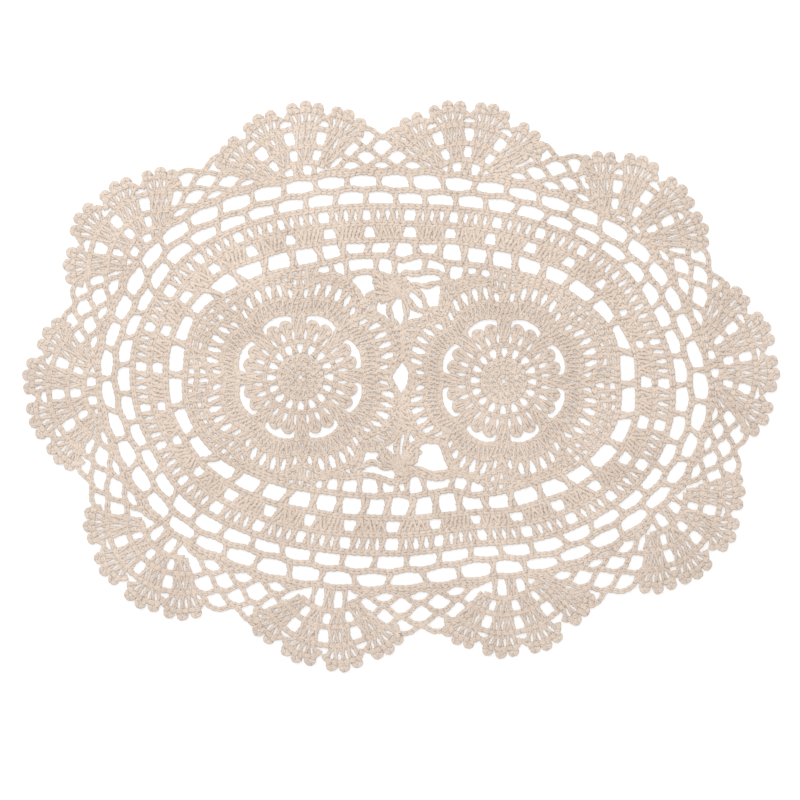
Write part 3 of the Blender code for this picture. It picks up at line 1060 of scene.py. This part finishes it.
def noise(tree, vector, scale, detail):
    """A noise of this fineness, as a value over the object."""
    node = tree.nodes.new("ShaderNodeTexNoise")
    node.inputs["Scale"].default_value = scale
    node.inputs["Detail"].default_value = detail
    tree.links.new(vector, node.inputs["Vector"])
    return node.outputs["Fac"]


def reckon(tree, operation, *values):
    """One step of arithmetic on numbers and on other steps."""
    node = tree.nodes.new("ShaderNodeMath")
    node.operation = operation
    for socket, value in zip(node.inputs, values):
        if isinstance(value, float):
            socket.default_value = value
        else:
            tree.links.new(value, socket)
    return node.outputs[0]


def relief(tree, height, strength, distance):
    """A bump of this height."""
    node = tree.nodes.new("ShaderNodeBump")
    node.inputs["Strength"].default_value = strength
    node.inputs["Distance"].default_value = distance
    tree.links.new(height, node.inputs["Height"])
    return node


def cotton():
    """Twisted cotton: ply in the thread's own direction, soft colour changes, painted shade in the
    grooves between the plies, a felt of fine fibres.
    """
    material = bpy.data.materials.new("cotton_thread_worked")
    material.use_nodes = True
    tree = material.node_tree
    shader = tree.nodes["Principled BSDF"]
    shader.inputs["Roughness"].default_value = 0.82
    shader.inputs["Sheen Weight"].default_value = 0.25
    shader.inputs["Sheen Roughness"].default_value = 0.6
    shader.inputs["Specular IOR Level"].default_value = 0.2

    # the ply: waves that run round the thread and along it, for the relief and for the painted shade in
    # the grooves
    thread = tree.nodes.new("ShaderNodeUVMap")
    thread.uv_map = "Thread"
    split = tree.nodes.new("ShaderNodeSeparateXYZ")
    tree.links.new(thread.outputs["UV"], split.inputs[0])
    twist = reckon(tree, "MULTIPLY_ADD", split.outputs["X"], PLIES, split.outputs["Y"])
    ply = reckon(tree, "SINE", reckon(tree, "MULTIPLY", twist, 2.0 * math.pi))

    # the colour: broad and fine patches, and painted shade in the grooves between the plies
    where = tree.nodes.new("ShaderNodeTexCoord").outputs["Object"]
    broad = reckon(tree, "MULTIPLY", noise(tree, where, scale=28.0, detail=3.0), BROAD_SHARE)
    fine = noise(tree, where, scale=420.0, detail=4.0)
    patches = reckon(tree, "MULTIPLY_ADD", fine, FINE_SHARE, broad)
    ramp = tree.nodes.new("ShaderNodeValToRGB")
    dark, light = ramp.color_ramp.elements
    dark.position, dark.color = 0.34, YARN_DARK
    light.position, light.color = 0.66, YARN_LIGHT
    # painted shade: the ply wave darkens the colour in the grooves between the plies
    tree.links.new(reckon(tree, "MULTIPLY_ADD", ply, PLY_SHADE_SHARE, patches), ramp.inputs["Fac"])
    tree.links.new(ramp.outputs["Color"], shader.inputs["Base Color"])

    # the relief: the plies, with the fibres over them
    plies = relief(tree, ply, strength=0.45, distance=0.0003)
    fibres = noise(tree, where, scale=2600.0, detail=2.0)
    felt = relief(tree, fibres, strength=0.25, distance=0.0001)
    tree.links.new(plies.outputs["Normal"], felt.inputs["Normal"])
    tree.links.new(felt.outputs["Normal"], shader.inputs["Normal"])
    return material


def studio():
    """A plain white table top, a soft light from above, and the camera straight over the doily."""
    scene = bpy.context.scene
    data = bpy.data.meshes.new("table_top")
    reach, low = TABLE_HALF_SIZE, -0.0001
    corners = [(-reach, -reach, low), (reach, -reach, low), (reach, reach, low), (-reach, reach, low)]
    data.from_pydata(corners, [], [(0, 1, 2, 3)])
    floor = bpy.data.objects.new("table_top", data)
    scene.collection.objects.link(floor)
    white = bpy.data.materials.new("white_top")
    white.use_nodes = True
    inputs = white.node_tree.nodes["Principled BSDF"].inputs
    inputs["Base Color"].default_value = (0.50, 0.50, 0.50, 1.0)
    inputs["Roughness"].default_value = 0.9
    inputs["Emission Strength"].default_value = 0.48
    data.materials.append(white)

    world = bpy.data.worlds.new("soft_room")
    world.use_nodes = True
    inputs = world.node_tree.nodes["Background"].inputs
    inputs["Color"].default_value = (1.0, 1.0, 1.0, 1.0)
    inputs["Strength"].default_value = 1.0
    scene.world = world
    lamp = bpy.data.lights.new("soft_box", "AREA")
    lamp.energy = 4.4
    lamp.size = 0.6
    box = bpy.data.objects.new("soft_box", lamp)
    box.location = (-0.25, 0.60, 0.80)
    box.rotation_euler = (math.radians(-36.9), math.radians(-14.0), 0.0)
    scene.collection.objects.link(box)

    lens = bpy.data.cameras.new("camera")
    lens.lens = 85.0
    lens.sensor_width = 36.0
    camera = bpy.data.objects.new("camera", lens)
    camera.location = (*VIEW_MIDDLE, VIEW_WIDTH * lens.lens / lens.sensor_width)
    camera.rotation_euler = (0.0, 0.0, math.radians(VIEW_TURN))
    scene.collection.objects.link(camera)
    scene.camera = camera
    scene.view_settings.view_transform = "Standard"
    scene.view_settings.look = "None"


def main():
    """Lays all the thread, shares it out between the pieces, and sets the view."""
    material = cotton()
    medallions = [Medallion(side, turn).work_all() for side, turn in MEDALLIONS]
    centre = [*medallions, middle_work()]
    rounds = [band(), outer_mesh()]
    parts = (("centre", centre, 0), ("rounds", rounds, 0), ("edging", [edging()], 1))
    for name, works, axis in parts:
        paths = [path for work in works for path in work.paths]
        flat, area = FLATS[name]
        for half, sign in HALVES[axis]:
            chosen = [part for part in paths if part[0][:, axis].mean() * sign > 0.0]
            piece(f"{name}_{half}", chosen, area, material)
    studio()


main()
